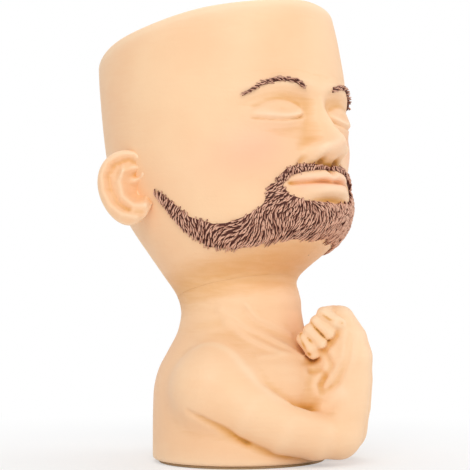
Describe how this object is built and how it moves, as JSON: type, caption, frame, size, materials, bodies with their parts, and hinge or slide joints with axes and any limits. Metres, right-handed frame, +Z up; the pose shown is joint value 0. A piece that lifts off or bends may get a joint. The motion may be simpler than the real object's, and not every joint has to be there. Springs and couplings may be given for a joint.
{
  "type": "head planter",
  "caption": "Bust-shaped plant pot: an open-crowned head with a beard leans back on a turned chest, fists under the chin, with a drain plug in the base.",
  "frame": {"origin": "centre of the underside of the base pad, on the surface the planter stands on", "axes": "+Z up out of the open crown, -Y the way the face looks, +X to the planter's left"},
  "size_m": [0.1288, 0.137, 0.2026],
  "materials": {
    "skin_paint": "satin hand-painted cast resin",
    "hair_paint": "matt dry-brushed paint over modelled hair",
    "plug_rubber": "matt moulded rubber",
    "pad_felt": "pressed felt"
  },
  "bodies": {
    "bust": {"head_bowl": "skin_paint", "right_ear": "skin_paint", "left_ear": "skin_paint", "beard": "hair_paint", "moustache": "hair_paint", "right_brow": "hair_paint", "left_brow": "hair_paint", "torso": "skin_paint", "right_arm": "skin_paint", "left_arm": "skin_paint", "right_hand": "skin_paint", "left_hand": "skin_paint", "base_pad": "pad_felt"},
    "plug": {"drain_plug": "plug_rubber"}
  },
  "joints": [
    {"name": "plug_pull", "type": "slide", "parent": "bust", "child": "plug", "axis": [0, 0, -1], "range_m": [0, 0.016]}
  ]
}
